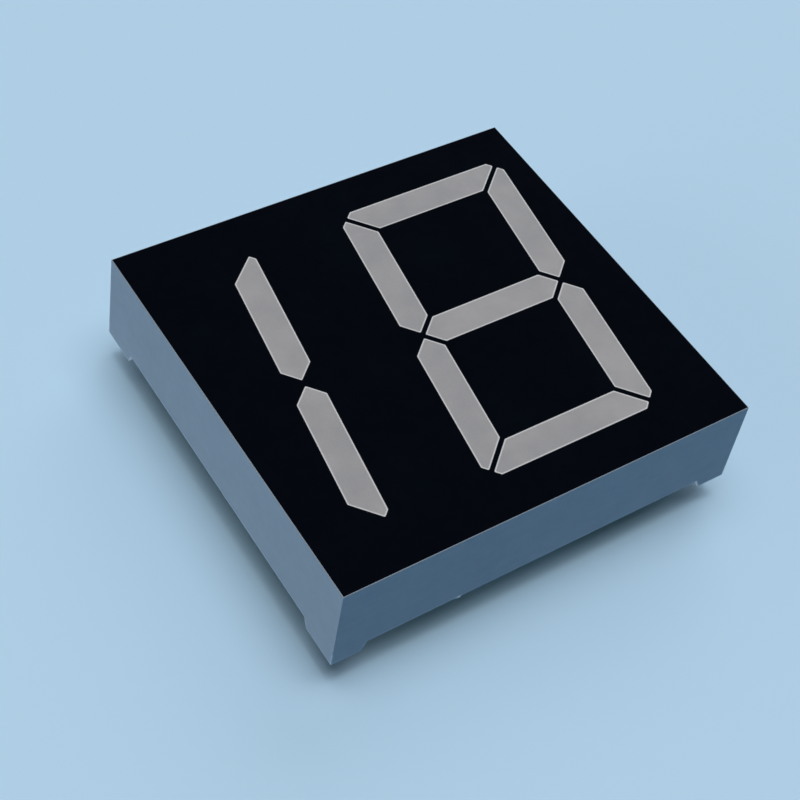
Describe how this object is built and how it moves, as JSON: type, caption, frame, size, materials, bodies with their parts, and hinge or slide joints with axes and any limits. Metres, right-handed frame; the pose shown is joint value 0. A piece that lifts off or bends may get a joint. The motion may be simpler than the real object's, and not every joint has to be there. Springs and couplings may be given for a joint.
{
  "type": "seven segment display",
  "caption": "Light-emitting numeric display: a tens digit that shows only a one beside a full slanted units digit, in a shallow moulded case with two rows of round pins.",
  "frame": {"origin": "centre of the pin field, on the plane of the corner feet, which is the surface of the board that the display is soldered to", "axes": "+X along the digits from left to right, +Y up the digits, +Z out of the face; the pins point along -Z"},
  "size_m": [0.0508, 0.0484, 0.0155],
  "materials": {
    "case_plastic": "light grey moulded plastic, fine satin",
    "black_film": "deep matte black",
    "milky_resin": "milky diffusing resin, satin",
    "board_laminate": "glass-fibre laminate with green solder mask",
    "track_lacquer": "green lacquer over copper tracks",
    "copper": "plated copper",
    "chip": "polished semiconductor chip",
    "gold_wire": "bright gold",
    "pin_metal": "bright tinned",
    "solder": "bright reflowed solder",
    "sealing_resin": "clear to straw-coloured cast resin"
  },
  "bodies": {
    "root": {"reflector_case": "case_plastic", "face_film": "black_film", "light_bar_a": "milky_resin", "light_bar_b": "milky_resin", "light_bar_c": "milky_resin", "light_bar_d": "milky_resin", "light_bar_e": "milky_resin", "light_bar_f": "milky_resin", "light_bar_g": "milky_resin", "light_bar_tens_b": "milky_resin", "light_bar_tens_c": "milky_resin", "circuit_board": "board_laminate", "copper_pads": "copper", "board_tracks": "track_lacquer", "led_chips_a": "chip", "led_chips_b": "chip", "led_chips_c": "chip", "led_chips_d": "chip", "led_chips_e": "chip", "led_chips_f": "chip", "led_chips_g": "chip", "led_chips_tens_b": "chip", "led_chips_tens_c": "chip", "bond_wires": "gold_wire", "pin_1": "pin_metal", "pin_2": "pin_metal", "pin_3": "pin_metal", "pin_4": "pin_metal", "pin_5": "pin_metal", "pin_6": "pin_metal", "pin_7": "pin_metal", "pin_8": "pin_metal", "pin_9": "pin_metal", "pin_10": "pin_metal", "pin_11": "pin_metal", "pin_12": "pin_metal", "solder_joints": "solder", "edge_sealant": "sealing_resin"}
  },
  "joints": []
}
